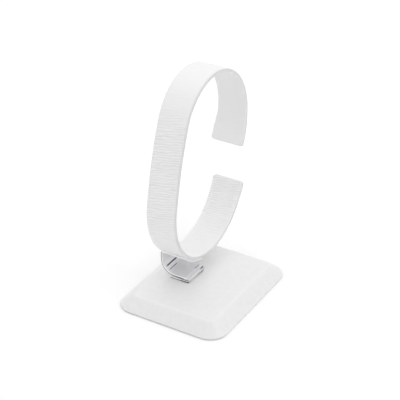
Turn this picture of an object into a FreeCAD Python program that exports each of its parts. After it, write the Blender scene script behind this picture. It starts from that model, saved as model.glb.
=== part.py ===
import FreeCAD, Part
import math
import os
import Sketcher

# A display stand for bangles: a bevelled base wrapped in smooth leatherette, a bent
# polished foot bracket, and a springy collar, open at the back, in grained leatherette.
# Frame: millimetres, +Z up, the front towards -Y, origin at the middle of the underside.

doc = FreeCAD.newDocument("bangle_stand")
sheet = doc.addObject("Spreadsheet::Sheet", "sizes")

SIZES = (
    # the base block
    ("base_width", 75.0),
    ("base_depth", 92.5),
    ("base_height", 8.5),
    ("corner_radius", 12.0),
    ("bevel_inset", 8.5),
    ("edge_height", 1.4),
    ("plateau_easing", 1.2),
    ("edge_easing", 0.7),
    ("wrap_thickness", 0.8),
    ("wrap_turn_under", 10.0),
    # the collar, as a chain of tangent arcs seen from the side
    ("collar_width", 20.0),
    ("collar_offset", -15.3),
    ("collar_setback", 18.4),
    ("collar_gap", 8.1),
    ("lower_radius", 43.0),
    ("front_radius", 244.0),
    ("brow_radius", 35.0),
    ("back_radius", 42.5),
    ("lower_end_angle", -15.5),
    ("front_foot_angle", 171.8),
    ("front_head_angle", 158.8),
    ("brow_end_angle", 84.6),
    ("upper_end_angle", -34.0),
    ("skin_thickness", 0.6),
    ("core_thickness", 1.2),
    ("skin_turn_in", 2.5),
    ("skin_edge_chamfer", 0.35),
    ("arm_corner_round", 1.6),
    # the foot bracket
    ("sheet_thickness", 1.2),
    ("bracket_depth", 18.0),
    ("bracket_offset", -0.6),
    ("foot_bend_radius", 8.5),
    ("saddle_fold_radius", 1.15),
    ("foot_length", 21.2),
    ("leaf_start", 7.0),
    ("hem_gap", 0.8),
    # the fasteners
    ("screw_diameter", 2.5),
    ("screw_head_diameter", 4.8),
    ("screw_margin", 4.5),
    ("screw_reach", 0.3),
    ("screw_slot_width", 0.7),
    ("screw_slot_depth", 0.6),
    ("rivet_diameter", 2.4),
    ("rivet_head_diameter", 4.2),
    ("rivet_head_height", 0.5),
    ("rivet_tail_diameter", 4.0),
    ("rivet_tail_height", 0.7),
    ("rivet_margin", 5.5),
)
for row, (alias, value) in enumerate(SIZES, start=1):
    sheet.set("A%d" % row, alias)
    sheet.set("B%d" % row, str(value))
    sheet.setAlias("B%d" % row, alias)
doc.recompute()

# Places worked out from the sizes, written once for the sketches that share them
WALL_X = "(sizes.collar_offset - sizes.collar_width / 2)"
LOWER_CENTRE_Z = "(sizes.base_height + sizes.collar_gap + sizes.lower_radius)"
STRIP_THICKNESS = "(2 * sizes.skin_thickness + sizes.core_thickness)"
BRACKET_FRONT = "(sizes.bracket_offset - sizes.bracket_depth / 2)"
BRACKET_BACK = "(sizes.bracket_offset + sizes.bracket_depth / 2)"
OUTLINE_ARCS = ("lower", "front", "brow", "back")
JOINT_ANGLES = ("front_foot_angle", "front_head_angle", "brow_end_angle")


def worth(expression):
    """The number that an expression on the sheet stands for now."""
    result = sheet.evalExpression(str(expression))
    return float(getattr(result, "Value", result))


def add_body(label):
    body = doc.addObject("PartDesign::Body", label)
    body.Label = label
    return body


def add_sketch(body, name, role, offsets=("0", "0", "0")):
    """A sketch on one origin plane of its own body, moved in the plane's own axes."""
    sketch = body.newObject("Sketcher::SketchObject", name)
    plane = [item for item in body.Origin.OriginFeatures if item.Role == role][0]
    sketch.AttachmentSupport = [(plane, "")]
    sketch.MapMode = "FlatFace"
    for axis, offset in zip("xyz", offsets):
        sketch.setExpression("AttachmentOffset.Base." + axis, offset)
    doc.recompute()
    return sketch


def bind(sketch, name, expression, kind, *where):
    """A named dimension of a sketch that follows an expression on the sheet."""
    value = worth(expression)
    if kind == "Angle":
        value = math.radians(value)
    index = sketch.addConstraint(Sketcher.Constraint(kind, *where, value))
    sketch.renameConstraint(index, name)
    sketch.setExpression("Constraints." + name, expression)


def add_pad(body, name, sketch, length, symmetric=False, reverse=False):
    pad = body.newObject("PartDesign::Pad", name)
    pad.Profile = sketch
    pad.setExpression("Length", length)
    pad.SideType = "Symmetric" if symmetric else "One side"
    pad.Reversed = reverse
    doc.recompute()
    return pad


def edges_where(shape, test):
    """Names of the edges whose every vertex passes a test."""
    named = enumerate(shape.Edges, start=1)
    return ["Edge%d" % i for i, edge in named if all(test(v.Point) for v in edge.Vertexes)]


def near(a, b):
    return abs(a - b) < 1e-4


def cut(name, base, tool):
    result = doc.addObject("Part::Cut", name)
    result.Base = base
    result.Tool = tool
    doc.recompute()
    return result


def rounded_plan(body, name, width, depth, radius, plane_height="0"):
    """A rounded rectangle centred on the origin: four sides and four tangent corner arcs."""
    sketch = add_sketch(body, name, "XY_Plane", ("0", "0", plane_height))
    half_w = worth(width) / 2
    half_d = worth(depth) / 2
    r = worth(radius)
    up = FreeCAD.Vector(0, 0, 1)
    corners = ((1, -1), (1, 1), (-1, 1), (-1, -1))
    for i, (sx, sy) in enumerate(corners):
        centre = FreeCAD.Vector(sx * (half_w - r), sy * (half_d - r), 0)
        start = math.radians(90 * i - 90)
        sketch.addGeometry(Part.ArcOfCircle(Part.Circle(centre, up, r), start, start + math.pi / 2))
    for i in range(4):
        this_end = sketch.getPoint(i, 2)
        next_start = sketch.getPoint((i + 1) % 4, 1)
        sketch.addGeometry(Part.LineSegment(this_end, next_start))
    for i in range(4):
        side = 4 + i
        sketch.addConstraint(Sketcher.Constraint("Tangent", i, 2, side, 1))
        sketch.addConstraint(Sketcher.Constraint("Tangent", side, 2, (i + 1) % 4, 1))
        sketch.addConstraint(Sketcher.Constraint("Horizontal" if i % 2 else "Vertical", side))
        if i:
            sketch.addConstraint(Sketcher.Constraint("Equal", 0, i))
    sketch.addConstraint(Sketcher.Constraint("Symmetric", 0, 3, 2, 3, -1, 1))
    bind(sketch, "corner", radius, "Radius", 0)
    bind(sketch, "wide", "%s - 2 * %s" % (width, radius), "DistanceX", 5, 2, 5, 1)
    bind(sketch, "deep", "%s - 2 * %s" % (depth, radius), "DistanceY", 4, 1, 4, 2)
    doc.recompute()
    return sketch


def strip_outline(body, name, depth_from, depth_to, end_inset):
    """The side view of one layer of the collar.

    Two chains of tangent arcs share their centres. Each centre lies on the line through
    the joint before it: centre + (radius - next radius) * (cos a, sin a).
    """
    sketch = add_sketch(body, name, "YZ_Plane",
                        ("sizes.collar_setback", LOWER_CENTRE_Z, "sizes.collar_offset"))
    up = FreeCAD.Vector(0, 0, 1)
    inset = "(180 / pi * %s / sizes.%s_radius)"
    low_end = "(sizes.lower_end_angle - %s)" % (inset % (end_inset, "lower"))
    high_end = "(sizes.upper_end_angle + %s)" % (inset % (end_inset, "back"))
    joints = ["sizes." + joint for joint in JOINT_ANGLES]
    # each arc runs anticlockwise from its first angle to its second
    firsts = ["(%s - 360)" % joints[0], joints[1], joints[2], high_end]
    seconds = [low_end, joints[0], joints[1], joints[2]]
    for depth in (depth_from, depth_to):
        centre = FreeCAD.Vector(0, 0, 0)
        for i, arc in enumerate(OUTLINE_ARCS):
            radius = worth("sizes.%s_radius" % arc)
            circle = Part.Circle(centre, up, radius - worth(depth))
            start = math.radians(worth(firsts[i]))
            end = math.radians(worth(seconds[i]))
            sketch.addGeometry(Part.ArcOfCircle(circle, start, end))
            if i < 3:
                step = radius - worth("sizes.%s_radius" % OUTLINE_ARCS[i + 1])
                angle = math.radians(worth(joints[i]))
                centre = centre + FreeCAD.Vector(math.cos(angle), math.sin(angle), 0) * step
    low_line = sketch.addGeometry(Part.LineSegment(sketch.getPoint(0, 2), sketch.getPoint(4, 2)))
    high_line = sketch.addGeometry(Part.LineSegment(sketch.getPoint(3, 1), sketch.getPoint(7, 1)))
    for first in (0, 4):
        # the lower arc starts where the front arc ends, and so on round the chain
        sketch.addConstraint(Sketcher.Constraint("Tangent", first, 1, first + 1, 2))
        sketch.addConstraint(Sketcher.Constraint("Tangent", first + 1, 1, first + 2, 2))
        sketch.addConstraint(Sketcher.Constraint("Tangent", first + 2, 1, first + 3, 2))
    sketch.addConstraint(Sketcher.Constraint("Coincident", 0, 3, -1, 1))
    for i, arc in enumerate(OUTLINE_ARCS):
        sketch.addConstraint(Sketcher.Constraint("Coincident", i, 3, i + 4, 3))
        radius = "sizes.%s_radius - %s" % (arc, depth_from)
        bind(sketch, arc + "_bend", radius, "Radius", i)
        bind(sketch, arc + "_sweep", "%s - %s" % (seconds[i], firsts[i]), "Angle", i)
    for line, arc, end in ((low_line, 0, 2), (high_line, 3, 1)):
        sketch.addConstraint(Sketcher.Constraint("Coincident", line, 1, arc, end))
        sketch.addConstraint(Sketcher.Constraint("Coincident", line, 2, arc + 4, end))
        sketch.addConstraint(Sketcher.Constraint("Perpendicular", line, arc))
    bind(sketch, "layer", "%s - %s" % (depth_to, depth_from), "Distance", low_line)
    bind(sketch, "low_end", "180 + " + low_end, "Angle", low_line)
    doc.recompute()
    return sketch


def strip_layer(label, depth_from, depth_to, width, end_inset, corner):
    """One layer of the collar strip, extruded to both sides of the collar's middle, with the
    corners of its two ends rounded."""
    body = add_body(label)
    outline = strip_outline(body, label + "_outline", depth_from, depth_to, end_inset)
    pad = add_pad(body, label + "_pad", outline, width, symmetric=True)
    straight = [edge.Curve.TypeId == "Part::GeomLine" for edge in pad.Shape.Edges]
    across = [near(edge.Vertexes[0].X, edge.Vertexes[-1].X) for edge in pad.Shape.Edges]
    corners = body.newObject("PartDesign::Fillet", label + "_corners")
    corners.Base = (pad, ["Edge%d" % (i + 1) for i in range(len(straight)) if straight[i] and across[i]])
    corners.setExpression("Radius", corner)
    doc.recompute()
    return body


# The block that the base's wrap encloses: a rounded plan with a broad bevel on all four sides
block = add_body("base_block")
block_plan = rounded_plan(block, "block_plan", "sizes.base_width", "sizes.base_depth",
                          "sizes.corner_radius")
block_pad = add_pad(block, "block_pad", block_plan, "sizes.base_height")
bevel = block.newObject("PartDesign::Chamfer", "block_bevel")
bevel.Base = (block_pad, edges_where(block_pad.Shape, lambda p: near(p.z, worth("sizes.base_height"))))
bevel.ChamferType = "Two distances"
bevel.setExpression("Size", "sizes.bevel_inset")
bevel.setExpression("Size2", "sizes.base_height - sizes.edge_height")
doc.recompute()
if not [v for v in bevel.Shape.Vertexes if near(v.Z, worth("sizes.edge_height"))]:
    bevel.FlipDirection = True
    doc.recompute()

# The wrap's outside, with the edges of the plateau and of the bevel eased
block_eased = doc.addObject("Part::Chamfer", "block_eased")
block_eased.Base = block
eased_edges = []
for height, easing in (("base_height", "plateau_easing"), ("edge_height", "edge_easing")):
    level = worth("sizes." + height)
    width = worth("sizes." + easing)
    names = edges_where(block.Shape, lambda p: near(p.z, level))
    eased_edges += [(int(name[4:]), width, width) for name in names]
block_eased.Edges = eased_edges
doc.recompute()

# The lining that closes the underside inside the turned-under wrap
base_lining = add_body("base_lining")
lining_plan = rounded_plan(base_lining, "lining_plan",
                           "(sizes.base_width - 2 * sizes.wrap_turn_under)",
                           "(sizes.base_depth - 2 * sizes.wrap_turn_under)",
                           "(sizes.corner_radius / 3)")
add_pad(base_lining, "lining_pad", lining_plan, "sizes.wrap_thickness")

# The board inside, one wrap thickness within the block all round
board_blank = doc.addObject("Part::Offset", "board_blank")
board_blank.Source = block
board_blank.setExpression("Value", "-sizes.wrap_thickness")
doc.recompute()


def foot_screw(name, side):
    """A countersunk machine screw from under the board into the bracket's lower leaf."""
    x = "(%s + (sizes.leaf_start + sizes.foot_length) / 2)" % WALL_X
    y = "(sizes.bracket_offset + %d * (sizes.bracket_depth / 2 - sizes.screw_margin))" % side
    head_height = "(sizes.screw_head_diameter - sizes.screw_diameter) / 2"
    head = doc.addObject("Part::Cone", name + "_head")
    head.setExpression("Radius1", "sizes.screw_head_diameter / 2")
    head.setExpression("Radius2", "sizes.screw_diameter / 2")
    head.setExpression("Height", head_height)
    shank = doc.addObject("Part::Cylinder", name + "_shank")
    shank.setExpression("Radius", "sizes.screw_diameter / 2")
    shank.setExpression("Height", "sizes.base_height - sizes.wrap_thickness"
                        " + sizes.sheet_thickness + sizes.screw_reach")
    slot = doc.addObject("Part::Box", name + "_slot")
    slot.setExpression("Length", "sizes.screw_head_diameter")
    slot.setExpression("Width", "sizes.screw_slot_width")
    slot.setExpression("Height", "sizes.screw_slot_depth")
    for piece in (head, shank, slot):
        piece.setExpression("Placement.Base.x", x)
        piece.setExpression("Placement.Base.y", y)
        piece.setExpression("Placement.Base.z", "sizes.wrap_thickness")
    slot.setExpression("Placement.Base.x", x + " - sizes.screw_head_diameter / 2")
    slot.setExpression("Placement.Base.y", y + " - sizes.screw_slot_width / 2")
    form = doc.addObject("Part::Fuse", name + "_form")
    form.Base = head
    form.Tool = shank
    doc.recompute()
    screw = cut(name, form, slot)
    screw.Label = name
    return form, screw


def collar_rivet(name, side):
    """A flat-headed rivet let into the inside of the core, along a radius of its lower arc,
    with its closed end under the bracket's saddle."""
    inner_face = "(sizes.lower_radius - sizes.skin_thickness - sizes.core_thickness)"
    saddle_underside = "(sizes.lower_radius + sizes.sheet_thickness)"
    head = doc.addObject("Part::Cylinder", name + "_head")
    head.setExpression("Radius", "sizes.rivet_head_diameter / 2")
    head.setExpression("Height", "sizes.rivet_head_height")
    head.setExpression("Placement.Base.z", "-%s - sizes.rivet_head_height" % inner_face)
    shank = doc.addObject("Part::Cylinder", name + "_shank")
    shank.setExpression("Radius", "sizes.rivet_diameter / 2")
    shank.setExpression("Height", "%s - %s" % (saddle_underside, inner_face))
    shank.setExpression("Placement.Base.z", "-" + saddle_underside)
    tail = doc.addObject("Part::Cylinder", name + "_tail")
    tail.setExpression("Radius", "sizes.rivet_tail_diameter / 2")
    tail.setExpression("Height", "sizes.rivet_tail_height")
    tail.setExpression("Placement.Base.z", "-%s - sizes.rivet_tail_height" % saddle_underside)
    rivet = doc.addObject("Part::MultiFuse", name)
    rivet.Label = name
    rivet.Shapes = [head, shank, tail]
    rivet.Placement = FreeCAD.Placement(FreeCAD.Vector(), FreeCAD.Rotation(FreeCAD.Vector(1, 0, 0), -1))
    rivet.setExpression("Placement.Base.x",
                        "sizes.collar_offset + %d * (sizes.collar_width / 2 - sizes.rivet_margin)" % side)
    rivet.setExpression("Placement.Base.y", "sizes.collar_setback")
    rivet.setExpression("Placement.Base.z", LOWER_CENTRE_Z)
    rivet.setExpression("Placement.Rotation.Angle",
                        "-asin((sizes.collar_setback - sizes.bracket_offset) / sizes.lower_radius)")
    doc.recompute()
    return rivet


screws = [foot_screw("foot_screw_front", -1), foot_screw("foot_screw_back", 1)]
screw_forms = doc.addObject("Part::MultiFuse", "screw_forms")
screw_forms.Shapes = [form for form, screw in screws]
rivets = [collar_rivet("collar_rivet_left", -1), collar_rivet("collar_rivet_right", 1)]
rivet_forms = doc.addObject("Part::MultiFuse", "rivet_forms")
rivet_forms.Shapes = rivets
doc.recompute()

base_board = cut("base_board", board_blank, screw_forms)
base_board.Label = "base_board"
wrap_shell = cut("wrap_shell", block_eased, board_blank)
wrap_open = cut("wrap_open", wrap_shell, base_lining)
base_cover = cut("base_cover", wrap_open, screw_forms)
base_cover.Label = "base_cover"


def bracket_profile(body):
    """The front view of the bent sheet: wall, large bend, floor, folded end and lower leaf.

    Local origin: the outer face of the wall, on the base's plateau.
    """
    sketch = add_sketch(body, "bracket_profile", "XZ_Plane",
                        (WALL_X, "sizes.base_height", "-sizes.bracket_offset"))
    up = FreeCAD.Vector(0, 0, 1)
    t = worth("sizes.sheet_thickness")
    gap = worth("sizes.hem_gap")
    bend = worth("sizes.foot_bend_radius")
    leaf = worth("sizes.leaf_start")
    top = worth("sizes.collar_gap + sizes.lower_radius")
    floor_top = 2 * t + gap
    fold_x = worth("sizes.foot_length") - floor_top / 2
    bend_centre = (t + bend, floor_top + bend)
    fold_centre = (fold_x, floor_top / 2)

    def line(x1, z1, x2, z2):
        return sketch.addGeometry(Part.LineSegment(FreeCAD.Vector(x1, z1, 0), FreeCAD.Vector(x2, z2, 0)))

    def arc(centre, radius, start, end):
        circle = Part.Circle(FreeCAD.Vector(centre[0], centre[1], 0), up, radius)
        return sketch.addGeometry(Part.ArcOfCircle(circle, math.radians(start), math.radians(end)))

    wall_out = line(0, top, 0, floor_top + bend)
    bend_out = arc(bend_centre, bend + t, 180, 270)
    floor_under = line(t + bend, t + gap, fold_x, t + gap)
    fold_in = arc(fold_centre, gap / 2, -90, 90)
    leaf_top = line(fold_x, t, leaf, t)
    leaf_end = line(leaf, t, leaf, 0)
    leaf_under = line(leaf, 0, fold_x, 0)
    fold_out = arc(fold_centre, floor_top / 2, -90, 90)
    floor_over = line(fold_x, floor_top, t + bend, floor_top)
    bend_in = arc(bend_centre, bend, 180, 270)
    wall_in = line(t, floor_top + bend, t, top)
    wall_top = line(t, top, 0, top)
    for first, end, second, start in ((wall_out, 2, bend_out, 1), (bend_out, 2, floor_under, 1),
                                      (floor_under, 2, fold_in, 2), (fold_in, 1, leaf_top, 1),
                                      (leaf_under, 2, fold_out, 1), (fold_out, 2, floor_over, 1),
                                      (floor_over, 2, bend_in, 2), (bend_in, 1, wall_in, 1)):
        sketch.addConstraint(Sketcher.Constraint("Tangent", first, end, second, start))
    for first, second in ((leaf_top, leaf_end), (leaf_end, leaf_under),
                          (wall_in, wall_top), (wall_top, wall_out)):
        sketch.addConstraint(Sketcher.Constraint("Coincident", first, 2, second, 1))
    for upright in (wall_out, leaf_end, wall_in):
        sketch.addConstraint(Sketcher.Constraint("Vertical", upright))
    for level in (floor_under, leaf_top, leaf_under, floor_over, wall_top):
        sketch.addConstraint(Sketcher.Constraint("Horizontal", level))
    sketch.addConstraint(Sketcher.Constraint("Coincident", bend_out, 3, bend_in, 3))
    sketch.addConstraint(Sketcher.Constraint("Coincident", fold_out, 3, fold_in, 3))
    sketch.addConstraint(Sketcher.Constraint("PointOnObject", wall_out, 1, -2))
    sketch.addConstraint(Sketcher.Constraint("PointOnObject", leaf_under, 1, -1))
    bind(sketch, "sheet", "sizes.sheet_thickness", "DistanceX", wall_top, 2, wall_top, 1)
    bind(sketch, "gap", "sizes.hem_gap / 2", "Radius", fold_in)
    bind(sketch, "bend", "sizes.foot_bend_radius", "Radius", bend_in)
    bind(sketch, "leaf", "sizes.leaf_start", "DistanceX", -1, 1, leaf_under, 1)
    bind(sketch, "fold", "sizes.foot_length - sizes.sheet_thickness - sizes.hem_gap / 2",
         "DistanceX", -1, 1, fold_in, 3)
    bind(sketch, "blank", "sizes.collar_gap + sizes.lower_radius", "DistanceY", -1, 1, wall_out, 1)
    doc.recompute()
    return sketch


def saddle_outline(body):
    """The side view of the saddle, concentric with the collar's lower arc and as deep
    front to back as the rest of the bracket."""
    sketch = add_sketch(body, "saddle_outline", "YZ_Plane",
                        ("sizes.collar_setback", LOWER_CENTRE_Z, WALL_X))
    up = FreeCAD.Vector(0, 0, 1)
    origin = FreeCAD.Vector(0, 0, 0)
    front = worth(BRACKET_FRONT + " - sizes.collar_setback")
    back = worth(BRACKET_BACK + " - sizes.collar_setback")
    ends = []
    for radius in (worth("sizes.lower_radius"), worth("sizes.lower_radius + sizes.sheet_thickness")):
        start = -math.acos(front / radius)
        end = -math.acos(back / radius)
        arc = sketch.addGeometry(Part.ArcOfCircle(Part.Circle(origin, up, radius), start, end))
        ends.append(arc)
    upper, under = ends
    front_line = sketch.addGeometry(Part.LineSegment(sketch.getPoint(upper, 1), sketch.getPoint(under, 1)))
    back_line = sketch.addGeometry(Part.LineSegment(sketch.getPoint(upper, 2), sketch.getPoint(under, 2)))
    for line, end in ((front_line, 1), (back_line, 2)):
        sketch.addConstraint(Sketcher.Constraint("Coincident", line, 1, upper, end))
        sketch.addConstraint(Sketcher.Constraint("Coincident", line, 2, under, end))
        sketch.addConstraint(Sketcher.Constraint("Vertical", line))
    for arc in (upper, under):
        sketch.addConstraint(Sketcher.Constraint("Coincident", arc, 3, -1, 1))
    bind(sketch, "seat", "sizes.lower_radius", "Radius", upper)
    bind(sketch, "underside", "sizes.lower_radius + sizes.sheet_thickness", "Radius", under)
    bind(sketch, "front", "sizes.collar_setback - " + BRACKET_FRONT, "DistanceX", upper, 1, -1, 1)
    bind(sketch, "back", "sizes.collar_setback - " + BRACKET_BACK, "DistanceX", upper, 2, -1, 1)
    doc.recompute()
    return sketch


# The foot bracket: one bent sheet. The wall is trimmed to the collar's lower arc, and the
# saddle that carries the collar is folded off that curved edge.
bracket = add_body("bracket_blank")
add_pad(bracket, "bracket_bend", bracket_profile(bracket), "sizes.bracket_depth", symmetric=True)
trim_circle = add_sketch(bracket, "trim_circle", "YZ_Plane",
                         ("sizes.collar_setback", LOWER_CENTRE_Z, WALL_X))
trim_circle.addGeometry(Part.Circle(FreeCAD.Vector(), FreeCAD.Vector(0, 0, 1), worth("sizes.lower_radius")))
trim_circle.addConstraint(Sketcher.Constraint("Coincident", 0, 3, -1, 1))
bind(trim_circle, "seat", "sizes.lower_radius", "Radius", 0)
doc.recompute()
wall_trim = bracket.newObject("PartDesign::Pocket", "wall_trim")
wall_trim.Profile = trim_circle
wall_trim.SideType = "Symmetric"
wall_trim.setExpression("Length", "4 * sizes.foot_length")
doc.recompute()
saddle = add_pad(bracket, "saddle", saddle_outline(bracket), "sizes.collar_width")


def fold_edge(shape, x, radius):
    """The curved edge of the saddle's fold in the plane at x, at a radius from the lower arc's
    centre."""
    centre_y = worth("sizes.collar_setback")
    centre_z = worth(LOWER_CENTRE_Z)

    def on_fold(point):
        return near(point.x, x) and near(math.hypot(point.y - centre_y, point.z - centre_z), radius)

    return edges_where(shape, on_fold)


saddle_fold = bracket.newObject("PartDesign::Fillet", "saddle_fold")
saddle_fold.Base = (saddle, fold_edge(saddle.Shape, worth(WALL_X), worth("sizes.lower_radius")))
saddle_fold.setExpression("Radius", "sizes.saddle_fold_radius")
doc.recompute()

bracket_bored = cut("bracket_bored", bracket, screw_forms)
foot_bracket = cut("foot_bracket", bracket_bored, rivet_forms)
foot_bracket.Label = "foot_bracket"

# The collar strip: the block of its full thickness, the core one skin within it all round,
# the inner lining between the turned-in edges, and the outer skin that is left
strip_block = strip_layer("strip_block", "0", STRIP_THICKNESS, "sizes.collar_width", "0",
                          "sizes.arm_corner_round")
collar_lining = strip_layer("collar_lining", "(sizes.skin_thickness + sizes.core_thickness)",
                            STRIP_THICKNESS, "sizes.collar_width - 2 * sizes.skin_turn_in",
                            "sizes.skin_turn_in", "sizes.arm_corner_round / 2")
core_blank = doc.addObject("Part::Offset", "core_blank")
core_blank.Source = strip_block
core_blank.setExpression("Value", "-sizes.skin_thickness")
doc.recompute()
collar_core = cut("collar_core", core_blank, rivet_forms)
collar_core.Label = "collar_core"


def on_strip_side(point):
    """True on the two long sides of the strip, from where the easing runs on round the ends."""
    return near(abs(point.x - worth("sizes.collar_offset")), worth("sizes.collar_width / 2"))


strip_eased = doc.addObject("Part::Chamfer", "strip_eased")
strip_eased.Base = strip_block
easing = worth("sizes.skin_edge_chamfer")
side_edges = edges_where(strip_block.Shape, on_strip_side)
strip_eased.Edges = [(int(name[4:]), easing, easing) for name in side_edges]
doc.recompute()
skin_shell = cut("skin_shell", strip_eased, core_blank)
skin_open = cut("skin_open", skin_shell, collar_lining)
collar_cover = cut("collar_cover", skin_open, rivet_forms)
collar_cover.Label = "collar_cover"

# Each finished piece, written out under the name it is known by
pieces = [base_board, base_cover, base_lining, foot_bracket, collar_core, collar_cover, collar_lining]
pieces += [screw for form, screw in screws] + rivets

for item in doc.Objects:
    if "Invalid" in item.State or "Error" in item.State:
        raise RuntimeError("%s did not build: %s" % (item.Name, item.State))
for piece in pieces:
    if piece.Shape.isNull() or not piece.Shape.isValid():
        raise RuntimeError("%s has no valid shape" % piece.Label)

os.makedirs("parts", exist_ok=True)
for piece in pieces:
    piece.Shape.exportStep("parts/%s.step" % piece.Label)
    box = piece.Shape.BoundBox
    print("%-20s solids %d volume %.1f box %.2f %.2f %.2f to %.2f %.2f %.2f" % (
        piece.Label, len(piece.Shape.Solids), piece.Shape.Volume,
        box.XMin, box.YMin, box.ZMin, box.XMax, box.YMax, box.ZMax))
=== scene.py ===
"""A display stand for bangles, in white leatherette on a bent, polished foot bracket.

The pieces come in the order in which the stand is put together: the base, the foot bracket,
its fixings, and the collar with its two layers of leatherette.
"""

import math

import bmesh
import bpy
import numpy as np
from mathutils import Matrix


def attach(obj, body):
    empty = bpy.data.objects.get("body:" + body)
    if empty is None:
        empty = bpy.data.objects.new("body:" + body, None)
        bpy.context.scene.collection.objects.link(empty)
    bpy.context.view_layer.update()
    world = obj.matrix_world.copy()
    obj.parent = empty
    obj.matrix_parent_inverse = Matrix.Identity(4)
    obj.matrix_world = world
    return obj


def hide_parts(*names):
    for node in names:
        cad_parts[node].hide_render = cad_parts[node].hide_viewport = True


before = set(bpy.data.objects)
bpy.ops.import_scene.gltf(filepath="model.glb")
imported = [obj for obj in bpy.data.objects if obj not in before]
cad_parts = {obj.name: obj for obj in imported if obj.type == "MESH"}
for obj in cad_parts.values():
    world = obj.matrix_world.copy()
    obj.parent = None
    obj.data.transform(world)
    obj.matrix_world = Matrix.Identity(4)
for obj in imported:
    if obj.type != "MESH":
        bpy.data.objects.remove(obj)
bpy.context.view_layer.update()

MM = 0.001


# The camera stands at the front right, about 0.87 m away, and looks down at 31 degrees.
view = bpy.data.cameras.new("counter_view")
view.sensor_width = 36.0
view.lens = 123.54
view.shift_x = -0.001
view.shift_y = 0.001
camera = bpy.data.objects.new("counter_view", view)
camera.location = (0.36775, -0.61988, 0.49744)
camera.rotation_euler = (math.radians(90.0 - 30.90), 0.0, math.radians(30.81))
bpy.context.collection.objects.link(camera)
bpy.context.scene.camera = camera
bpy.context.scene.view_settings.view_transform = "Standard"


# The photographer's table: matt white paper, which fades to pure white and keeps the
# stand's soft shadow. A white tent all round it gives even light, and three large soft lamps
# on its right, on its left and behind it lift what faces up.
def linear(colour):
    """The linear RGB of an sRGB hex colour: c / 12.92, or ((c + 0.055) / 1.055) ** 2.4."""
    parts = [int(colour[i:i + 2], 16) / 255 for i in (1, 3, 5)]
    return tuple(c / 12.92 if c <= 0.04045 else ((c + 0.055) / 1.055) ** 2.4 for c in parts)


def add(tree, kind, inputs=None, **settings):
    """Adds a shader node. Each input is a value, or the socket of another node to link.

    Sockets go by name or number. A mix of colours takes them at 6 and 7 and gives one at 2, and
    a mix of values takes them at 2 and 3. The share of the second one is at 0 in both.
    """
    node = tree.nodes.new("ShaderNode" + kind)
    for name, value in settings.items():
        setattr(node, name, value)
    for name, value in (inputs or {}).items():
        if isinstance(value, bpy.types.NodeSocket):
            tree.links.new(value, node.inputs[name])
        elif isinstance(value, tuple) and len(value) == 3 and len(node.inputs[name].default_value) == 4:
            node.inputs[name].default_value = (*value, 1.0)
        else:
            node.inputs[name].default_value = value
    return node


def new_material(name):
    """An empty material, with the tree to fill and its output."""
    material = bpy.data.materials.new(name)
    material.use_nodes = True
    material.node_tree.nodes.clear()
    return material, material.node_tree, add(material.node_tree, "OutputMaterial")


def seen_rays(tree):
    """1 for the rays of the camera, of a mirror or of a lens, and 0 for those that carry light."""
    path = add(tree, "LightPath")
    seen = add(tree, "Math", {0: path.outputs["Is Camera Ray"], 1: path.outputs["Is Glossy Ray"]},
               operation="MAXIMUM")
    return add(tree, "Math", {0: seen.outputs[0], 1: path.outputs["Is Transmission Ray"]},
               operation="MAXIMUM")


table_half = 6.0
table_mesh = bpy.data.meshes.new("paper_table")
table_mesh.from_pydata([(-table_half, -table_half, 0), (table_half, -table_half, 0),
                        (table_half, table_half, 0), (-table_half, table_half, 0)], [], [(0, 1, 2, 3)])
table = bpy.data.objects.new("paper_table", table_mesh)
bpy.context.collection.objects.link(table)
# The paper itself is a shade under white. What the camera, a mirror or a lens sees of it is
# lifted to white, so only the shadow is left of it.
paper_lift = 0.15
paper, tree, output = new_material("matt white paper")
lift = add(tree, "Math", {0: seen_rays(tree).outputs[0], 1: paper_lift}, operation="MULTIPLY")
matt = add(tree, "BsdfDiffuse", {"Color": linear("#f6f6f6"), "Roughness": 1.0})
glow = add(tree, "Emission", {"Color": (1.0, 1.0, 1.0), "Strength": lift.outputs[0]})
both = add(tree, "AddShader", {0: matt.outputs[0], 1: glow.outputs[0]})
tree.links.new(both.outputs[0], output.inputs["Surface"])
table_mesh.materials.append(paper)

# The tent: white where it is seen or mirrored, and a little under that as light.
tent_light = 0.81
tent = bpy.data.worlds.new("white_tent")
bpy.context.scene.world = tent
tent.use_nodes = True
tree = tent.node_tree
tree.nodes.clear()
level = add(tree, "MapRange", {"Value": seen_rays(tree).outputs[0], "To Min": tent_light, "To Max": 1.0})
sky = add(tree, "Background", {"Color": (1.0, 1.0, 1.0), "Strength": level.outputs[0]})
tree.links.new(sky.outputs[0], add(tree, "OutputWorld").inputs["Surface"])

# The lamps: each has a place in metres and a power in watts, and faces the stand's middle.
stand_middle = (0.0, 0.0, 0.06)
softbox_side = 0.7
for name, place, power in (("right_softbox", (0.75, 0.0, 0.85), 1.3),
                           ("left_softbox", (-0.5, 0.2, 1.0), 1.2),
                           ("back_softbox", (0.0, 0.8, 0.85), 0.9)):
    light = bpy.data.lights.new(name, "AREA")
    light.shape = "SQUARE"
    light.size = softbox_side
    light.energy = power
    holder = bpy.data.objects.new(name, light)
    aim = np.array(stand_middle) - np.array(place)
    holder.location = place
    holder.rotation_euler = (math.atan2(math.hypot(aim[0], aim[1]), -aim[2]), 0.0,
                             math.atan2(aim[1], aim[0]) - math.pi / 2)
    bpy.context.collection.objects.link(holder)


# The base: a board cut to a rounded block with a broad bevel. The board is hidden, and so is
# all but the middle of the underside's lining. Raw fibreboard, sawn and sanded.
BASE_WIDTH = 75.0
BASE_DEPTH = 92.5
BASE_HEIGHT = 8.5
CORNER_RADIUS = 12.0
BEVEL_INSET = 8.5
LIP_HEIGHT = 1.4

fibreboard, tree, output = new_material("medium density fibreboard")
place = add(tree, "TexCoord")
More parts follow.
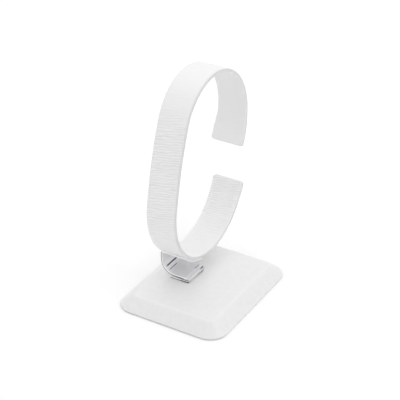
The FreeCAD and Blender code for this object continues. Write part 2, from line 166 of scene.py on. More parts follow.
# pressed wood fibres, about 0.4 mm across
fibres = add(tree, "TexNoise", {"Vector": place.outputs["Object"], "Scale": 2500.0, "Detail": 4.0})
tint = add(tree, "ValToRGB", {"Fac": fibres.outputs["Fac"]})
tint.color_ramp.elements[0].color = (*linear("#a5825b"), 1.0)
tint.color_ramp.elements[1].color = (*linear("#c6a67e"), 1.0)
rough = add(tree, "Bump", {"Height": fibres.outputs["Fac"], "Strength": 0.4, "Distance": 0.1 * MM})
board = add(tree, "BsdfPrincipled", {"Base Color": tint.outputs["Color"], "Roughness": 0.85,
                                     "Normal": rough.outputs["Normal"]})
tree.links.new(board.outputs[0], output.inputs["Surface"])
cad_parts["base_board"].data.materials.clear()
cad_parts["base_board"].data.materials.append(fibreboard)


# The wrap: one sheet of smooth white leatherette (a polyurethane film on knitted cloth, 0.8 mm
# thick), drawn tight over the board and turned under it. It softens every edge of the board.
def soft_profile(corners, radii, step):
    """Points along a bent line whose corners are arcs.

    At each inner corner the arc of radius r touches both runs at r * tan(turn / 2) from it.
    The arcs are sampled finely, the runs about every step. All in millimetres.
    """
    corners = np.asarray(corners, float)
    ahead = np.diff(corners, axis=0)
    ahead /= np.linalg.norm(ahead, axis=1)[:, None]
    turn = np.arctan2(ahead[:-1, 0] * ahead[1:, 1] - ahead[:-1, 1] * ahead[1:, 0],
                      (ahead[:-1] * ahead[1:]).sum(1))
    reach = np.asarray(radii, float) * np.tan(np.abs(turn) / 2)
    starts = np.vstack([corners[:1], corners[1:-1] + ahead[1:] * reach[:, None]])
    ends = np.vstack([corners[1:-1] - ahead[:-1] * reach[:, None], corners[-1:]])
    line = []
    for i, (start, end) in enumerate(zip(starts, ends)):
        count = max(2, int(np.linalg.norm(end - start) / step) + 1)
        line.append(start + (end - start) * np.linspace(0, 1, count)[:, None])
        if i < len(turn):
            side = np.sign(turn[i])
            normal = side * np.array([-ahead[i, 1], ahead[i, 0]])
            centre = end + normal * radii[i]
            angle = turn[i] * np.linspace(0, 1, max(3, int(abs(turn[i]) / math.radians(11)) + 2))[1:-1]
            spoke = -normal * radii[i]
            line.append(centre + np.stack([spoke[0] * np.cos(angle) - spoke[1] * np.sin(angle),
                                           spoke[0] * np.sin(angle) + spoke[1] * np.cos(angle)], 1))
    return np.vstack(line)


def panel_plan(width, length, radius, step, round_cells):
    """The flat plan of a panel with round corners, as a grid with rings to grow round it.

    In each corner block of side r the square (x, y) goes to the quarter disc
    (x * sqrt(1 - y * y / 2), y * sqrt(1 - x * x / 2)); elsewhere the plan stays as it is.
    Returns the grid's points, its quads, and the indices and outward normals of its rim.
    """
    def ticks(size):
        inner = size / 2 - radius
        count = max(2, int(2 * inner / step) + 1)
        block = np.linspace(0, radius, round_cells + 1)
        return np.concatenate([-inner - block[:0:-1], np.linspace(-inner, inner, count), inner + block[1:]])

    x, y = np.meshgrid(ticks(width), ticks(length), indexing="ij")
    inner_x = np.clip(np.abs(x), 0, width / 2 - radius)
    inner_y = np.clip(np.abs(y), 0, length / 2 - radius)
    over_x = (np.abs(x) - inner_x) / radius
    over_y = (np.abs(y) - inner_y) / radius
    new_x = np.sign(x) * (inner_x + radius * over_x * np.sqrt(1 - over_y ** 2 / 2))
    new_y = np.sign(y) * (inner_y + radius * over_y * np.sqrt(1 - over_x ** 2 / 2))
    n, m = x.shape
    index = np.arange(n * m).reshape(n, m)
    quads = np.stack([index[:-1, :-1], index[1:, :-1], index[1:, 1:], index[:-1, 1:]], -1).reshape(-1, 4)
    rim = np.concatenate([index[:-1, 0], index[-1, :-1], index[:0:-1, -1], index[0, :0:-1]])
    plan = np.stack([new_x.ravel(), new_y.ravel()], 1)
    edge = plan[rim]
    core = np.stack([np.clip(edge[:, 0], radius - width / 2, width / 2 - radius),
                     np.clip(edge[:, 1], radius - length / 2, length / 2 - radius)], 1)
    normal = edge - core
    return plan, quads, rim, normal / np.linalg.norm(normal, axis=1)[:, None]


def wrapped_panel(width, length, radius, step, round_cells, profile, closed=False):
    """A skin over a panel: the plan's grid, then one ring for each point of the profile.

    A ring at (out, down) is the plan's rim moved outwards by out, at the depth down. Inwards,
    past the corner's radius, its sides meet in a mitre: they stop at half the plan's size + out.
    The profile starts at (0, 0), on the rim. If closed, it ends at out 0, on the rim of a second
    grid that faces the other way. Returns (x, y, depth) points, quads, the unrolled plan,
    where each ring lies as far from the rim as the profile's length to it, with that length as
    a third column, and the profile's whole length.
    """
    plan, quads, rim, normal = panel_plan(width, length, radius, step, round_cells)
    run = np.concatenate([[0], np.cumsum(np.linalg.norm(np.diff(profile, axis=0), axis=1))])
    rings = profile[1:-1] if closed else profile[1:]
    lengths = run[1:len(rings) + 1]
    reach = np.array([width / 2, length / 2]) + rings[:, :1]
    ring_plan = plan[rim][None] + normal[None] * rings[:, 0][:, None, None]
    ring_plan = np.clip(ring_plan, -reach[:, None], reach[:, None]).reshape(-1, 2)
    ring_unrolled = (plan[rim][None] + normal[None] * lengths[:, None, None]).reshape(-1, 2)
    points = np.vstack([np.column_stack([plan, np.zeros(len(plan))]),
                        np.column_stack([ring_plan, np.repeat(rings[:, 1], len(rim))])])
    unrolled = np.vstack([plan, ring_unrolled])
    past_rim = np.concatenate([np.zeros(len(plan)), np.repeat(lengths, len(rim))])
    loops = np.vstack([rim[None], len(plan) + np.arange(len(ring_plan)).reshape(-1, len(rim))])
    if closed:
        loops = np.vstack([loops, len(points) + rim[None]])
        points = np.vstack([points, np.column_stack([plan, np.full(len(plan), profile[-1, 1])])])
        unrolled = np.vstack([unrolled, plan])
        past_rim = np.concatenate([past_rim, np.full(len(plan), run[-1])])
        quads = np.vstack([quads, quads[:, ::-1] + len(points) - len(plan)])
    here = loops[:-1]
    there = loops[1:]
    skirts = np.stack([here, there, np.roll(there, -1, 1), np.roll(here, -1, 1)], -1).reshape(-1, 4)
    return points, np.vstack([quads, skirts]), np.column_stack([unrolled, past_rim]), run[-1]


def add_piece(name, points, faces, unrolled):
    """A smooth mesh object from points in metres, riding on the stand.

    The first two columns of unrolled make its map. A third one, if there is one, makes the map
    past_rim.
    """
    mesh = bpy.data.meshes.new(name)
    mesh.from_pydata(points.tolist(), [], faces.tolist())
    owners = np.empty(len(mesh.loops), dtype=np.int32)
    mesh.loops.foreach_get("vertex_index", owners)
    layer = mesh.uv_layers.new(name="unrolled")
    layer.data.foreach_set("uv", unrolled[owners, :2].astype(np.float32).ravel())
    if unrolled.shape[1] > 2:
        layer = mesh.uv_layers.new(name="past_rim")
        layer.data.foreach_set("uv", unrolled[owners][:, [2, 2]].astype(np.float32).ravel())
    # the mitres' points lie on one another
    joined = bmesh.new()
    joined.from_mesh(mesh)
    bmesh.ops.remove_doubles(joined, verts=joined.verts, dist=1e-6)
    joined.to_mesh(mesh)
    joined.free()
    mesh.polygons.foreach_set("use_smooth", np.ones(len(mesh.polygons), dtype=bool))
    mesh.update()
    piece = bpy.data.objects.new(name, mesh)
    bpy.context.collection.objects.link(piece)
    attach(piece, "root")
    return piece


def thicken(piece, thickness, offset=-1.0):
    """Gives a skin its thickness: on its inner side, or half on each side for offset 0."""
    solid = piece.modifiers.new("thickness", "SOLIDIFY")
    solid.thickness = thickness
    solid.offset = offset


WRAP_THICKNESS = 0.8
TURN_UNDER = 10.0
# from the plateau outwards: its edge, the bevel, the lip, the foot, and back under the board
wrap_profile = soft_profile(
    [(0, 0), (TURN_UNDER - BEVEL_INSET, 0), (TURN_UNDER, BASE_HEIGHT - LIP_HEIGHT),
     (TURN_UNDER, BASE_HEIGHT), (0, BASE_HEIGHT)],
    radii=[2.0, 0.4, 1.15], step=1.5)
hem_width = BASE_WIDTH - 2 * TURN_UNDER
hem_depth = BASE_DEPTH - 2 * TURN_UNDER
points, faces, unrolled, reach = wrapped_panel(
    hem_width, hem_depth, CORNER_RADIUS - TURN_UNDER, step=1.5, round_cells=5, profile=wrap_profile)
points[:, 2] = BASE_HEIGHT - points[:, 2]
base_wrap = add_piece("base_wrap", points * MM, faces, unrolled * MM)
thicken(base_wrap, WRAP_THICKNESS * MM)
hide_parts("base_cover")


def near(tree, value, place, inner, outer):
    """1 where a value, a place in metres, is within inner mm of place mm, and 0 beyond outer mm."""
    off = add(tree, "Math", {0: value, 1: place * MM}, operation="SUBTRACT")
    off = add(tree, "Math", {0: off.outputs[0]}, operation="ABSOLUTE")
    return add(tree, "MapRange", {"Value": off.outputs[0], "From Min": inner * MM, "From Max": outer * MM,
                                  "To Min": 1.0, "To Max": 0.0})


# Calendered polyurethane: a very fine pebble grain, low sheen, clean white.
smooth_skin, tree, output = new_material("smooth white leatherette")
place = add(tree, "UVMap", uv_map="unrolled")
# the pebbles are about 0.3 mm in life, and drawn 0.9 mm wide so that they show
pebbles = add(tree, "TexVoronoi", {"Vector": place.outputs["UV"], "Scale": 1100.0}, feature="SMOOTH_F1")
mottle = add(tree, "TexNoise", {"Vector": place.outputs["UV"], "Scale": 260.0, "Detail": 4.0})
height = add(tree, "Math", {0: pebbles.outputs["Distance"], 1: mottle.outputs["Fac"]}, operation="ADD")
grain = add(tree, "Bump", {"Height": height.outputs[0], "Strength": 0.25, "Distance": 0.03 * MM})
tint = add(tree, "ValToRGB", {"Fac": mottle.outputs["Fac"]})
tint.color_ramp.elements[0].position = 0.3
tint.color_ramp.elements[0].color = (*linear("#ececec"), 1.0)
tint.color_ramp.elements[1].position = 0.7
tint.color_ramp.elements[1].color = (*linear("#f0f0f0"), 1.0)
# along the plateau's edge, where it is drawn tight over the board, a lighter band is painted: a painted
# highlight on the rounded edge
past_rim = add(tree, "UVMap", uv_map="past_rim")
past_rim = add(tree, "SeparateXYZ", {"Vector": past_rim.outputs["UV"]})
# painted highlight: a band a touch lighter along the plateau's edge
painted_highlight = near(tree, past_rim.outputs["X"], TURN_UNDER - BEVEL_INSET, 0.2, 1.6)
tight_and_painted_tone = add(tree, "Mix", {0: painted_highlight.outputs[0], 6: tint.outputs["Color"], 7: linear("#f1f1f1")},
            data_type="RGBA")
# and along the front its lowest millimetre is painted grey: a painted contact shadow where the wrap meets
# the table
body = add(tree, "SeparateXYZ", {"Vector": add(tree, "TexCoord").outputs["Object"]})
low = add(tree, "MapRange", {"Value": body.outputs["Z"], "From Min": 0.6 * MM, "From Max": 1.3 * MM,
                             "To Min": 1.0, "To Max": 0.0})
front = add(tree, "MapRange", {"Value": body.outputs["Y"], "From Min": (5.0 - BASE_DEPTH / 2) * MM,
                               "From Max": (12.0 - BASE_DEPTH / 2) * MM, "To Min": 1.0, "To Max": 0.0})
low = add(tree, "Math", {0: low.outputs[0], 1: front.outputs[0]}, operation="MULTIPLY")
# painted shadow: the front's lowest millimetre mixed towards grey
painted_shade = add(tree, "Mix", {0: low.outputs[0], 6: tight_and_painted_tone.outputs[2], 7: linear("#c4c4c4")}, data_type="RGBA")
skin = add(tree, "BsdfPrincipled", {"Base Color": painted_shade.outputs[2], "Roughness": 0.4, "IOR": 1.5,
                                    "Normal": grain.outputs["Normal"]})
tree.links.new(skin.outputs[0], output.inputs["Surface"])
base_wrap.data.materials.append(smooth_skin)


# The underside's lining: a thinner piece of the same leatherette, glued flush inside the
# turned-under wrap.
lining_edge = 0.3
lining_corner = CORNER_RADIUS - TURN_UNDER - lining_edge
lining_profile = soft_profile(
    [(0, 0), (lining_edge, 0), (lining_edge, WRAP_THICKNESS), (0, WRAP_THICKNESS)],
    radii=[0.25, 0.1], step=0.3)
points, faces, unrolled, _ = wrapped_panel(
    hem_width - 2 * lining_edge, hem_depth - 2 * lining_edge, lining_corner,
    step=3.0, round_cells=3, profile=lining_profile, closed=True)
base_underlay = add_piece("base_underlay", points * MM, faces[:, ::-1], unrolled * MM)
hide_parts("base_lining")
base_underlay.data.materials.append(smooth_skin)


# The foot bracket: one strip of mild steel, 1.2 mm thick, pressed to shape, polished and
# chrome plated. The foot is folded back under itself, the wall rises from a wide bend, and
# a saddle, curved to the collar, is folded off the wall's top.
COLLAR_WIDTH = 20.0
COLLAR_OFFSET = -15.3
COLLAR_SETBACK = 18.4
LOWER_RADIUS = 43.0
COLLAR_CLEARANCE = 8.1
LOWER_CENTRE = BASE_HEIGHT + COLLAR_CLEARANCE + LOWER_RADIUS
STEEL = 1.2
FOOT_LENGTH = 21.2
LEAF_START = 7.0
HEM_GAP = 0.8
BEND_RADIUS = 8.5
FOLD_RADIUS = 0.42
BRACKET_FRONT = -9.6
BRACKET_BACK = 8.4
BRACKET_LEFT = COLLAR_OFFSET - COLLAR_WIDTH / 2
# the axes of the foot's fold and of the wide bend, which run from front to back
FOLD_AXIS_X = BRACKET_LEFT + FOOT_LENGTH - STEEL - HEM_GAP / 2
BEND_AXIS_X = BRACKET_LEFT + STEEL + BEND_RADIUS
BEND_AXIS_Z = BASE_HEIGHT + 2 * STEEL + HEM_GAP + BEND_RADIUS


def bracket_skin():
    """The middle of the bent sheet, as rows of points: one row for each step along the strip.

    Seen from the front each row's place is on a line, or on an arc at centre + r * (cos, sin).
    The saddle's height at a depth y is the lower centre - sqrt((R + t / 2)^2 - (y - setback)^2).
    The saddle's fold touches the wide bend from inside, so its centre lies on a circle about the
    bend's axis, or on the wall's line above it.
    """
    y = np.linspace(BRACKET_FRONT, BRACKET_BACK, 31)[None, :]
    half = STEEL / 2
    bend = BEND_RADIUS + half
    fold = FOLD_RADIUS + half
    turn = HEM_GAP / 2 + half
    leaf_z = BASE_HEIGHT + half
    floor_z = BASE_HEIGHT + STEEL + HEM_GAP + half
    saddle_z = LOWER_CENTRE - np.sqrt((LOWER_RADIUS + half) ** 2 - (y - COLLAR_SETBACK) ** 2)
    drop = np.clip(BEND_AXIS_Z - (saddle_z - fold), 0, None)
    top_x = BEND_AXIS_X - np.sqrt((bend - fold) ** 2 - drop ** 2)
    top_z = saddle_z - fold
    last = math.pi + np.arcsin(drop / (bend - fold))

    def run(x1, z1, x2, z2, count):
        t = np.linspace(0, 1, count + 1)[:-1, None]
        return x1 + (x2 - x1) * t + 0 * y, z1 + (z2 - z1) * t + 0 * y

    def arc(x, z, radius, first, final, count):
        angle = first + (final - first) * np.linspace(0, 1, count + 1)[:-1, None]
        return x + radius * np.cos(angle) + 0 * y, z + radius * np.sin(angle) + 0 * y

    # the lower leaf, the foot's fold, the floor, the wide bend, the wall, the saddle's fold, the
    # saddle and its edge
    parts = [
        run(BRACKET_LEFT + LEAF_START, leaf_z, FOLD_AXIS_X, leaf_z, count=12),
        arc(FOLD_AXIS_X, leaf_z + turn, turn, -math.pi / 2, math.pi / 2, count=14),
        run(FOLD_AXIS_X, floor_z, BEND_AXIS_X, floor_z, count=10),
        arc(BEND_AXIS_X, BEND_AXIS_Z, bend, 1.5 * math.pi, last, count=30),
        run(BEND_AXIS_X + bend * np.cos(last), BEND_AXIS_Z + bend * np.sin(last),
            top_x + fold * np.cos(last), top_z + fold * np.sin(last), count=1),
        arc(top_x, top_z, fold, last, math.pi / 2, count=10),
        run(top_x, saddle_z, BRACKET_LEFT + COLLAR_WIDTH, saddle_z, count=18),
        (BRACKET_LEFT + COLLAR_WIDTH + 0 * y, saddle_z),
    ]
    x = np.vstack([part[0] for part in parts])
    z = np.vstack([part[1] for part in parts])
    return np.stack([x, y + 0 * x, z], -1)


strip = bracket_skin()
rows, columns = strip.shape[:2]
index = np.arange(rows * columns).reshape(rows, columns)
faces = np.stack([index[:-1, :-1], index[1:, :-1], index[1:, 1:], index[:-1, 1:]], -1).reshape(-1, 4)
# unrolled, a point lies at its depth and at the strip's length up to it
along = np.vstack([np.zeros(columns), np.cumsum(np.linalg.norm(np.diff(strip, axis=0), axis=2), axis=0)])
unrolled = np.column_stack([strip[:, :, 1].ravel(), along.ravel()])
bent_foot = add_piece("bent_foot", strip.reshape(-1, 3) * MM, faces, unrolled * MM)
thicken(bent_foot, STEEL * MM, 0.0)
# the sheared edges are broken by the polishing wheel
eased = bent_foot.modifiers.new("eased_edges", "BEVEL")
eased.width = 0.25 * MM
eased.segments = 2
eased.use_clamp_overlap = False
eased.limit_method = "ANGLE"
eased.angle_limit = math.radians(50)
eased.harden_normals = True
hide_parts("foot_bracket")

# Chrome plate over steel that was polished on a wheel: a soft shine with the wheel's faint run
# in it. Thin dark lines are painted along its bends: painted reflections of the gaps of its surroundings.
chrome, tree, output = new_material("polished chrome plate")
place = add(tree, "UVMap", uv_map="unrolled")
spot = add(tree, "SeparateXYZ", {"Vector": place.outputs["UV"]})
# how far along the strip from the lower leaf's end: the foot's fold and the wide bend
TURN_START = FOOT_LENGTH - LEAF_START - STEEL - HEM_GAP / 2
TURN_MIDDLE = TURN_START + math.pi / 4 * (STEEL + HEM_GAP)
BEND_START = TURN_START + math.pi / 2 * (STEEL + HEM_GAP) + TURN_START + LEAF_START - STEEL - BEND_RADIUS
BEND_LENGTH = math.pi / 2 * (BEND_RADIUS + STEEL / 2)
# each painted dark reflection's place along the strip, half its width, and the depths between which it runs
dark = None
for centre, half_width, front, back in (
        (BEND_START + 0.56 * BEND_LENGTH, 0.45, BRACKET_FRONT + 1.0, BRACKET_BACK),
        (BEND_START + 0.34 * BEND_LENGTH, 0.2, -9.0, 2.0),
        (TURN_MIDDLE + 3.7, 0.2, 2.0, BRACKET_BACK + 2.0),
        (TURN_MIDDLE + 0.9, 0.2, 3.5, BRACKET_BACK + 1.5)):
    half_run = (back - front) / 2
    line = near(tree, spot.outputs["Y"], centre, 0.5 * half_width, 1.5 * half_width)
    ends = near(tree, spot.outputs["X"], (front + back) / 2, half_run - 2.5, half_run)
    line = add(tree, "Math", {0: line.outputs[0], 1: ends.outputs[0]}, operation="MULTIPLY")
    if dark:
        line = add(tree, "Math", {0: dark.outputs[0], 1: line.outputs[0]}, operation="MAXIMUM")
    dark = line
# they are on the sheet's inner side alone: a point is outside where it is further from the wide
# bend's axis, or from the lines on from it, than the sheet's middle
place_in_body = add(tree, "TexCoord")
past_axis = add(tree, "VectorMath", {0: place_in_body.outputs["Object"],
                                     1: (BEND_AXIS_X * MM, 0.0, BEND_AXIS_Z * MM)}, operation="SUBTRACT")
past_axis = add(tree, "VectorMath", {0: past_axis.outputs["Vector"], 1: (0.0, 0.0, 0.0)},
                operation="MINIMUM")
past_axis = add(tree, "VectorMath", {0: past_axis.outputs["Vector"], 1: (1.0, 0.0, 1.0)},
                operation="MULTIPLY")
from_axis = add(tree, "VectorMath", {0: past_axis.outputs["Vector"]}, operation="LENGTH")
outside = add(tree, "MapRange", {"Value": from_axis.outputs["Value"],
                                 "From Min": (BEND_RADIUS + STEEL / 2) * MM,
                                 "From Max": (BEND_RADIUS + STEEL / 2 + 0.2) * MM})
inside = add(tree, "Math", {0: 1.0, 1: outside.outputs[0]}, operation="SUBTRACT")
dark = add(tree, "Math", {0: dark.outputs[0], 1: inside.outputs[0]}, operation="MULTIPLY")
# a painted contact shadow runs along the foot's lowest edge in front and at the back, and is
# broader towards the foot's fold
body = add(tree, "SeparateXYZ", {"Vector": place_in_body.outputs["Object"]})
broader = add(tree, "MapRange", {"Value": body.outputs["X"], "From Min": (FOLD_AXIS_X - 6.3) * MM,
                                 "From Max": (FOLD_AXIS_X - 4.3) * MM, "To Max": 0.35 * MM})
lowest = add(tree, "Math", {0: body.outputs["Z"], 1: broader.outputs[0]}, operation="SUBTRACT")
lowest = add(tree, "MapRange", {"Value": lowest.outputs[0], "From Min": (BASE_HEIGHT + 0.35) * MM,
                                "From Max": (BASE_HEIGHT + 0.6) * MM, "To Min": 1.0, "To Max": 0.0})
at_front = add(tree, "Math", {0: body.outputs["Y"], 1: (BRACKET_FRONT + 0.4) * MM},
               operation="LESS_THAN")
at_back = add(tree, "MapRange", {"Value": body.outputs["Y"], "From Min": -1.0 * MM, "From Max": 6.0 * MM})
places = add(tree, "Math", {0: at_front.outputs[0], 1: at_back.outputs[0]}, operation="MAXIMUM")
lowest = add(tree, "Math", {0: lowest.outputs[0], 1: places.outputs[0]}, operation="MULTIPLY")
# and painted shade along the outer half of the wide bend's front edge, above the lower leaf, up to the fold
above = add(tree, "Math", {0: body.outputs["Z"], 1: (BASE_HEIGHT + STEEL + HEM_GAP) * MM},
            operation="GREATER_THAN")
short_of_fold = add(tree, "MapRange", {"Value": body.outputs["X"], "From Min": (FOLD_AXIS_X - 3.8) * MM,
                                       "From Max": (FOLD_AXIS_X - 2.3) * MM,
                                       "To Min": 1.0, "To Max": 0.0})
outer_edge = outside
for limit in (above, at_front, short_of_fold):
    outer_edge = add(tree, "Math", {0: outer_edge.outputs[0], 1: limit.outputs[0]}, operation="MULTIPLY")
for edge in (outer_edge, lowest):
    dark = add(tree, "Math", {0: dark.outputs[0], 1: edge.outputs[0]}, operation="MAXIMUM")
# the plate's colour is greyer round the foot's fold, and a little greyer on the wall and the
# saddle: painted shade in the plate's colour, which dims its reflections there
dimmed = add(tree, "Math", {0: spot.outputs["Y"], 1: TURN_MIDDLE * MM,
                          2: 0.8 * (STEEL + HEM_GAP) * MM}, operation="COMPARE")
upper = add(tree, "MapRange", {"Value": spot.outputs["Y"],
                               "From Min": (BEND_START + 0.6 * BEND_LENGTH) * MM,
                               "From Max": (BEND_START + 0.85 * BEND_LENGTH) * MM, "To Max": 0.4})
dimmed = add(tree, "Math", {0: dimmed.outputs[0], 1: upper.outputs[0]}, operation="MAXIMUM")
# the wheel's run, 0.7 mm apart and 11 mm long, over shallow waves of the pressing, 2.5 mm wide
run_of_wheel = add(tree, "Mapping", {"Vector": place.outputs["UV"], "Scale": (90.0, 1500.0, 1.0)})
wheel = add(tree, "TexNoise", {"Vector": run_of_wheel.outputs["Vector"], "Scale": 1.0, "Detail": 3.0})
waves = add(tree, "TexNoise", {"Vector": place.outputs["UV"], "Scale": 400.0, "Detail": 1.0})
uneven = add(tree, "Math", {0: waves.outputs["Fac"], 1: 4.0, 2: wheel.outputs["Fac"]},
             operation="MULTIPLY_ADD")
marks = add(tree, "Bump", {"Height": uneven.outputs[0], "Strength": 0.6, "Distance": 0.05 * MM})
gloss = add(tree, "MapRange", {"Value": wheel.outputs["Fac"], "To Min": 0.5, "To Max": 0.65})
dimmed_plate = add(tree, "Mix", {0: dimmed.outputs[0], 6: linear("#fcfcfd"), 7: linear("#d6d7d9")},
            data_type="RGBA")
# the painted reflections and painted shade go into the plate's colour here
tone = add(tree, "Mix", {0: dark.outputs[0], 6: dimmed_plate.outputs[2], 7: linear("#3c3d40")}, data_type="RGBA")
plate = add(tree, "BsdfPrincipled", {"Base Color": tone.outputs[2], "Metallic": 1.0,
                                     "Roughness": gloss.outputs[0], "Normal": marks.outputs["Normal"]})
tree.links.new(plate.outputs[0], output.inputs["Surface"])
bent_foot.data.materials.append(chrome)


# The fixings: two zinc-plated machine screws come up through the board into the foot's lower
# leaf, and two aluminium rivets hold the collar's core to the saddle. Only the rivets' closed
# ends show, under the saddle.
def plain_metal(name, colour, grain, detail, least_rough, most_rough, *nodes):
    """Bare or plated metal whose gloss wavers with its grain. Dresses the solids of these nodes.

    grain is how often the gloss changes in a metre along each axis, and detail its octaves.
    """
    material, tree, output = new_material(name)
    place = add(tree, "TexCoord")
    spread = add(tree, "Mapping", {"Vector": place.outputs["Object"], "Scale": grain})
    noise = add(tree, "TexNoise", {"Vector": spread.outputs["Vector"], "Scale": 1.0, "Detail": detail})
    gloss = add(tree, "MapRange", {"Value": noise.outputs["Fac"], "To Min": least_rough,
                                   "To Max": most_rough})
    metal = add(tree, "BsdfPrincipled", {"Base Color": linear(colour), "Metallic": 1.0,
                                         "Roughness": gloss.outputs[0]})
    tree.links.new(metal.outputs[0], output.inputs["Surface"])
    for node in nodes:
        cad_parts[node].data.materials.clear()
        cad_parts[node].data.materials.append(material)


# faint clouds from the plating bath, about 1 mm across
plain_metal("zinc plated steel", "#b9bcc0", (900.0, 900.0, 900.0), 3.0, 0.28, 0.45,
            "foot_screw_front", "foot_screw_back")
# the dull bloom of drawn wire, about 0.7 mm across
plain_metal("drawn aluminium", "#d5d6d8", (1500.0, 1500.0, 1500.0), 2.0, 0.3, 0.5,
            "collar_rivet_left", "collar_rivet_right")


# The collar's core: a strip of blued spring steel, hidden in the leatherette. Its rolling
# lines run along it, about 0.3 mm apart.
plain_metal("blued spring steel strip", "#8d9096", (3000.0, 200.0, 200.0), 2.0, 0.3, 0.5,
            "collar_core")


# The collar's cover: grained white leatherette, 0.6 mm thick, wrapped round the core and
# turned in over its edges and both ends. Seen from the side the collar is four arcs, from the
# lower arm's end round the front to the upper one's: their radii, and the angles of their ends.
ARC_RADII = np.array([LOWER_RADIUS, 244.0, 35.0, 42.5])
ARC_ENDS = np.radians([-15.5, 171.8 - 360, 158.8 - 360, 84.6 - 360, -34.0 - 360])
ARC_LENGTHS = -np.diff(ARC_ENDS) * ARC_RADII
ARC_STARTS = np.concatenate([[0], np.cumsum(ARC_LENGTHS)])
COLLAR_LENGTH = ARC_STARTS[-1]
STRIP_THICKNESS = 2.4
SKIN = 0.6
TURN_IN = 2.5
ARM_CORNER = 2.2

# each arc's centre lies on the line through the joint: centre + (r - next r) * (cos, sin)
steps = -np.diff(ARC_RADII)[:, None] * np.stack([np.cos(ARC_ENDS[1:-1]), np.sin(ARC_ENDS[1:-1])], 1)
ARC_CENTRES = np.array([COLLAR_SETBACK, LOWER_CENTRE]) + np.vstack([[0, 0], np.cumsum(steps, axis=0)])
# the leatherette is puffed beyond the core, most where it is folded double over the ends:
# the distance along the collar, and how far it spreads to the left and to the right there
SPREAD = np.array([[0, 1.3, 1.0], [12, 1.4, 0.3], [60, 1.1, 0.1], [90, 0.2, 0.15],
                   [COLLAR_LENGTH - 40, 0.2, 0.15], [COLLAR_LENGTH - 20, 0.6, 0.3],
                   [COLLAR_LENGTH - 10, 1.9, 0.8], [COLLAR_LENGTH, 1.9, 1.3]])


def round_the_collar(points):
    """Bends a flat panel's (across, along, depth) round the collar, in metres.

    along runs from the lower arm's end to the upper one's. On its arc a point lies at
    centre + (radius - depth) * (cos, sin) of the arc's first angle - distance / radius.
    Across it the strip spreads by SPREAD, read off between the places along it.
    """
    along = np.clip(points[:, 1] + COLLAR_LENGTH / 2, 0, COLLAR_LENGTH)
    left = np.interp(along, SPREAD[:, 0], SPREAD[:, 1])
    right = np.interp(along, SPREAD[:, 0], SPREAD[:, 2])
    across = points[:, 0] * (1 + np.where(points[:, 0] < 0, left, right) / (COLLAR_WIDTH / 2))
    arc = np.clip(np.searchsorted(ARC_STARTS, along, side="right") - 1, 0, 3)
    angle = ARC_ENDS[arc] - (along - ARC_STARTS[arc]) / ARC_RADII[arc]
    spoke = (ARC_RADII[arc] - points[:, 2])[:, None] * np.stack([np.cos(angle), np.sin(angle)], 1)
    return np.column_stack([COLLAR_OFFSET + across, ARC_CENTRES[arc] + spoke]) * MM


edge_round = 0.65
hem = np.array([ARM_CORNER / 2 - TURN_IN, STRIP_THICKNESS])
cover_profile = soft_profile([(0, 0), (ARM_CORNER / 2, 0), (ARM_CORNER / 2, STRIP_THICKNESS), hem],
                             radii=[edge_round, edge_round], step=0.7)
# the hem ends in a crisp edge, 0.25 mm deep, with a ring of points 0.03 mm to each side of it
cover_profile = np.vstack([cover_profile[:-1], hem + [0.03, 0], hem, hem + [0, -0.03], hem + [0, -0.25]])
points, faces, unrolled, reach = wrapped_panel(
    COLLAR_WIDTH - ARM_CORNER, COLLAR_LENGTH - ARM_CORNER, ARM_CORNER / 2,
    step=1.3, round_cells=3, profile=cover_profile)
collar_wrap = add_piece("collar_wrap", round_the_collar(points), faces, unrolled * MM)
thicken(collar_wrap, SKIN * MM)
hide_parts("collar_cover")


# how far past the plan's rim the painted shade on the cover's edge is deepest, and where the cover is on
# the collar's inside
EDGE_SHADE_AT = ARM_CORNER / 2 + 0.6
TURNED_AT = EDGE_SHADE_AT + 0.9
# the heights between which the lining's creases fade below and above, and its tone there, a
# shade darker than the cover's: painted shade on the upper arm's inside, which faces down
LINING_FADES = (17.0, 27.0, 60.0, 78.0)
LINING_SMOOTH = "#eeeeee"


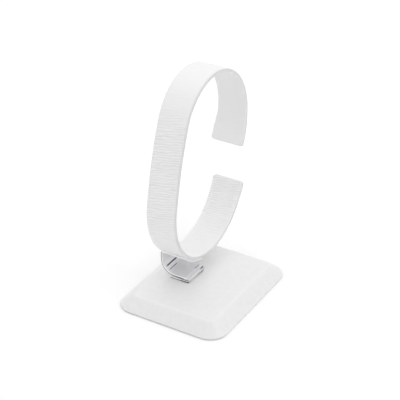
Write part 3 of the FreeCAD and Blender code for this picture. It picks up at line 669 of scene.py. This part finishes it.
def grained_leatherette(name, depth, dark, light, smooth, fades, slant, folded=False):
    """Embossed polyurethane: fine creases wander across the strip, about 1.6 mm apart.

    Where the skin is drawn tight, between the first two and the last two heights of fades (mm),
    the creases fade into the tone smooth. slant is their angle to the strip in degrees. A folded
    skin has painted shade along its edge, and past it fades as the lining does, into the lining's
    painted shade.
    """
    material, tree, output = new_material(name)
    place = add(tree, "UVMap", uv_map="unrolled")
    # creases 1.6 mm apart along the strip, which wander over some 5 mm along it and 15 mm across:
    # a wave has a band every 2 * pi / (20 * scale)
    turned = add(tree, "VectorRotate", {"Vector": place.outputs["UV"], "Angle": math.radians(slant)},
                 rotation_type="Z_AXIS")
    lie = add(tree, "Mapping", {"Vector": turned.outputs["Vector"], "Scale": (0.35, 1.0, 1.0)})
    ripples = add(tree, "TexWave", {"Vector": lie.outputs["Vector"], "Scale": 2 * math.pi / (20 * 1.6 * MM),
                                    "Distortion": 7.0, "Detail": 2.0, "Detail Scale": 1.2,
                                    "Detail Roughness": 0.6}, bands_direction="Y")
    # and shorter ones between them, 1 mm apart and 8 mm long
    short = add(tree, "Mapping", {"Vector": turned.outputs["Vector"], "Scale": (120.0, 1100.0, 1.0)})
    breaks = add(tree, "TexNoise", {"Vector": short.outputs["Vector"], "Scale": 1.0, "Detail": 2.0})
    creases = add(tree, "Mix", {0: 0.6, 2: ripples.outputs["Fac"], 3: breaks.outputs["Fac"]})
    pebbles = add(tree, "TexVoronoi", {"Vector": place.outputs["UV"], "Scale": 1300.0}, feature="SMOOTH_F1")
    fine = add(tree, "Math", {0: pebbles.outputs["Distance"], 1: 0.2}, operation="MULTIPLY")
    body = add(tree, "TexCoord")
    height = add(tree, "SeparateXYZ", {"Vector": body.outputs["Object"]})

    def drawn_tight(heights):
        low = add(tree, "MapRange", {"Value": height.outputs["Z"], "From Min": heights[0] * MM,
                                     "From Max": heights[1] * MM, "To Min": 0.3})
        high = add(tree, "MapRange", {"Value": height.outputs["Z"], "From Min": heights[2] * MM,
                                      "From Max": heights[3] * MM, "To Min": 1.0, "To Max": 0.1})
        return add(tree, "Math", {0: low.outputs[0], 1: high.outputs[0]}, operation="MULTIPLY")

    drawn = drawn_tight(fades)
    tight_and_painted_tone = linear(smooth)
    if folded:
        past_rim = add(tree, "UVMap", uv_map="past_rim")
        past_rim = add(tree, "SeparateXYZ", {"Vector": past_rim.outputs["UV"]})
        turned_in = add(tree, "Math", {0: past_rim.outputs["X"], 1: TURNED_AT * MM},
                        operation="GREATER_THAN")
        drawn = add(tree, "Mix", {0: turned_in.outputs[0], 2: drawn.outputs[0],
                                  3: drawn_tight(LINING_FADES).outputs[0]})
        tight_and_painted_tone = add(tree, "Mix", {0: turned_in.outputs[0], 6: tight_and_painted_tone, 7: linear(LINING_SMOOTH)},
                    data_type="RGBA").outputs[2]
    folds = add(tree, "Math", {0: creases.outputs[0], 1: drawn.outputs[0]}, operation="MULTIPLY")
    relief = add(tree, "Math", {0: folds.outputs[0], 1: fine.outputs[0]}, operation="ADD")
    grain = add(tree, "Bump", {"Height": relief.outputs[0], "Strength": 1.0, "Distance": depth * MM})
    # where the creases lie low they are painted a shade darker: painted shade in the creases
    tint = add(tree, "ValToRGB", {"Fac": creases.outputs[0]})
    tint.color_ramp.elements[0].position = 0.25
    tint.color_ramp.elements[0].color = (*linear(dark), 1.0)
    tint.color_ramp.elements[1].position = 0.7
    tint.color_ramp.elements[1].color = (*linear(light), 1.0)
    shade = add(tree, "Mix", {0: drawn.outputs[0], 6: tight_and_painted_tone, 7: tint.outputs["Color"]}, data_type="RGBA")
    if folded:
        # painted shade along the cover's folded edge, over the strip's sides
        painted_shade = near(tree, past_rim.outputs["X"], EDGE_SHADE_AT, 0.7, 1.4)
        shade = add(tree, "Mix", {0: painted_shade.outputs[0], 6: shade.outputs[2], 7: linear("#dedede")},
                    data_type="RGBA")
    skin = add(tree, "BsdfPrincipled", {"Base Color": shade.outputs[2], "Roughness": 0.48, "IOR": 1.5,
                                        "Normal": grain.outputs["Normal"]})
    tree.links.new(skin.outputs[0], output.inputs["Surface"])
    return material


collar_wrap.data.materials.append(grained_leatherette(
    "grained white leatherette", depth=0.2, dark="#e9e9e9", light="#f8f8f8", smooth="#f4f4f4",
    fades=(34.0, 70.0, 112.0, 130.0), slant=-11.0, folded=True))


# The collar's lining: a narrower strip of the leatherette, glued inside between the cover's
# turned-in edges. A fine seam shows all round it.
lining_edge = 0.1
lining_corner = 0.1
lining_profile = soft_profile([(0, 0), (lining_edge, 0), (lining_edge, SKIN), (0, SKIN)],
                              radii=[0.05, 0.05], step=0.3)
points, faces, unrolled, _ = wrapped_panel(
    COLLAR_WIDTH - 2 * (TURN_IN + lining_edge), COLLAR_LENGTH - 2 * (TURN_IN + lining_edge), lining_corner,
    step=1.3, round_cells=2, profile=lining_profile, closed=True)
points[:, 2] = STRIP_THICKNESS - points[:, 2]
inner_lining = add_piece("inner_lining", round_the_collar(points), faces[:, ::-1], unrolled * MM)
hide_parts("collar_lining")
# the lining's tones are a shade darker than the cover's: painted shade inside the collar
inner_lining.data.materials.append(grained_leatherette(
    "white lining leatherette", depth=0.16, dark="#e9e9e9", light="#f4f4f4", smooth=LINING_SMOOTH,
    fades=LINING_FADES, slant=8.0))
